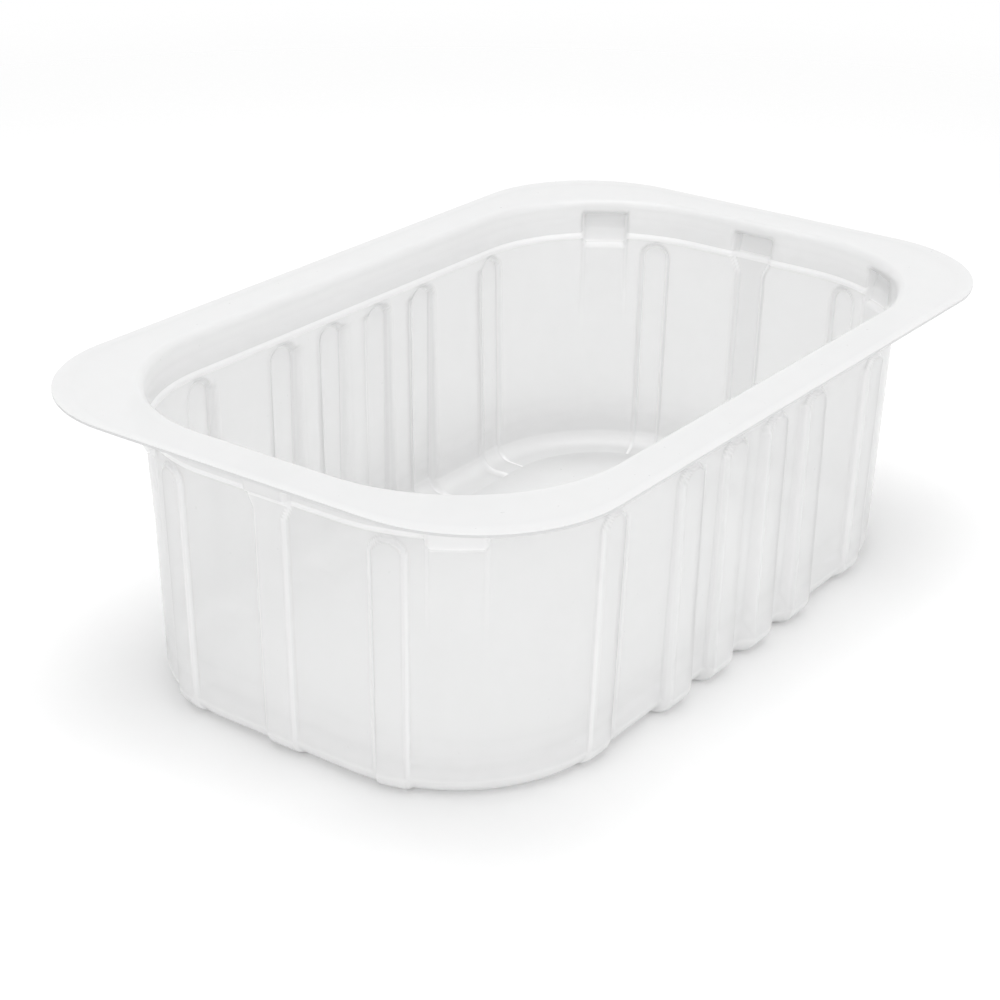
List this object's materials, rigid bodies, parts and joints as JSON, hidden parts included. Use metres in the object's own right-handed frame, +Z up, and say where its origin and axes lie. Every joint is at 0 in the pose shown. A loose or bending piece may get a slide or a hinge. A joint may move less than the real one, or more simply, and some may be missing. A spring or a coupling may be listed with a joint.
{
  "type": "plastic tray",
  "caption": "Deep thermoformed plastic tray with a wide flat rim, a stepped neck, large round corners and fluted walls.",
  "frame": {"origin": "middle of the tray, on the surface it stands on", "axes": "+X along the tray's length, +Y across it, +Z up out of the mouth"},
  "size_m": [0.19, 0.122, 0.062],
  "materials": {
    "milky_plastic": "milky translucent sheet with a soft satin gloss, whiter where it is seen edge on"
  },
  "bodies": {
    "root": {"tray": "milky_plastic"}
  },
  "joints": []
}
